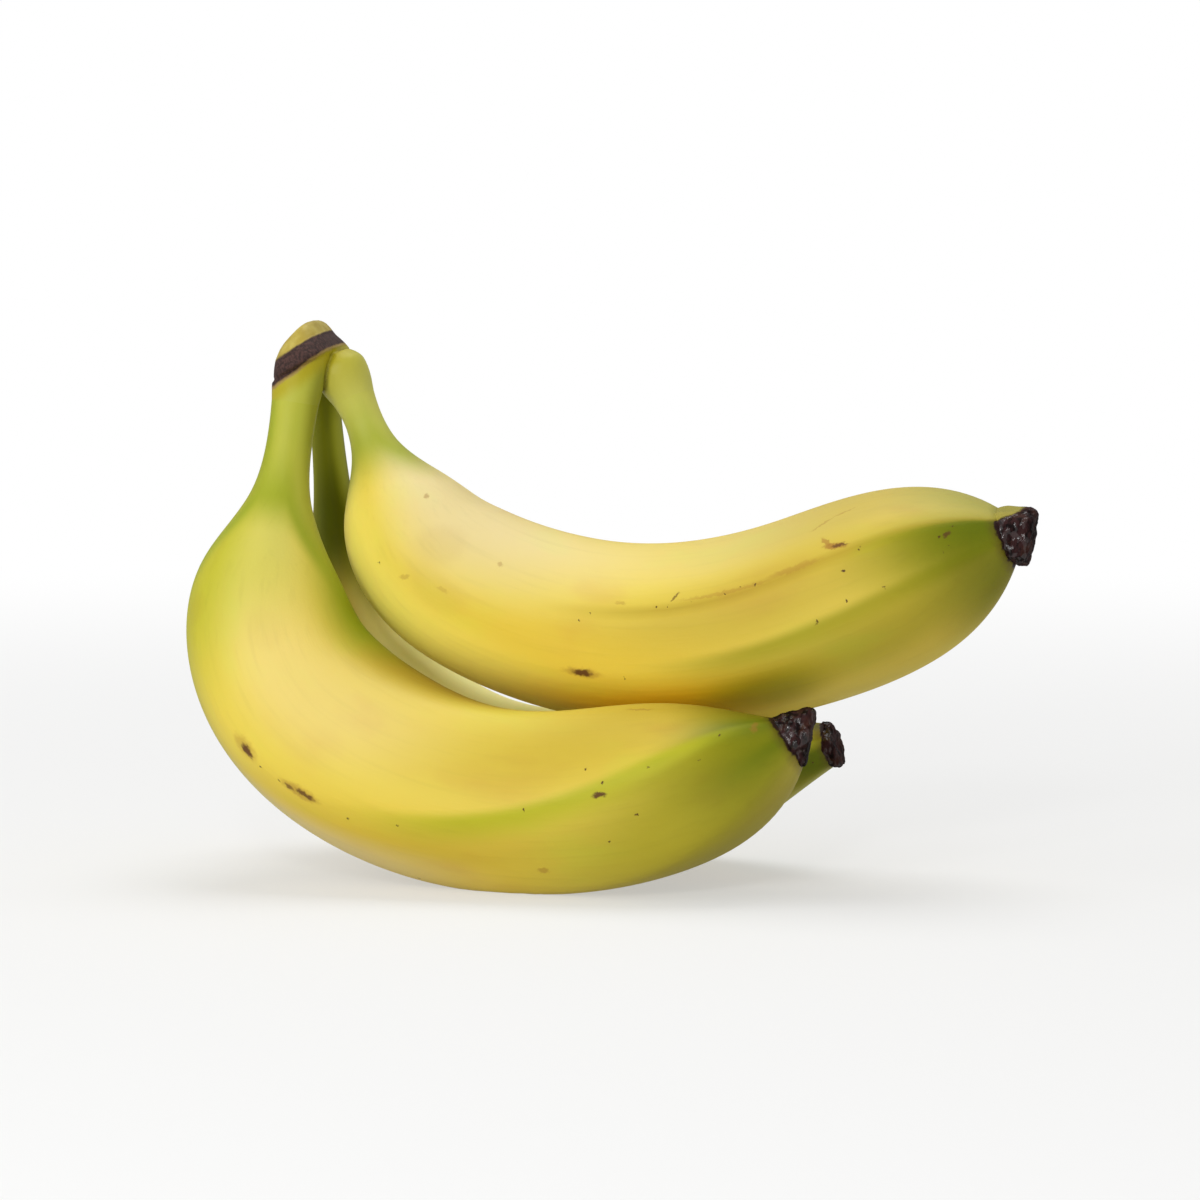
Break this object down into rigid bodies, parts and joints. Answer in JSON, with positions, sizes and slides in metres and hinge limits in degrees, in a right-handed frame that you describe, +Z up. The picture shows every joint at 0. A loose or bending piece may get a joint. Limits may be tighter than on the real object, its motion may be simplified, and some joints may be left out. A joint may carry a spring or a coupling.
{
  "type": "bunch of bananas",
  "caption": "Small bunch of curved, ridged bananas on one crown, lying on the outer curves of its lower fingers, with dried blossom ends.",
  "frame": {"origin": "on the surface the bunch lies on, under the middle of its box", "axes": "+X from the crown towards the blossom ends, +Z up, -Y towards the front finger"},
  "size_m": [0.1661, 0.0728, 0.1101],
  "materials": {
    "peel": "satin",
    "crown": "matte",
    "dried_blossom": "satin"
  },
  "bodies": {
    "root": {"banana_front": "peel", "banana_rear": "peel", "banana_upper": "peel", "crown": "crown", "blossom_end_front": "dried_blossom", "blossom_end_rear": "dried_blossom", "blossom_end_upper": "dried_blossom"}
  },
  "joints": []
}
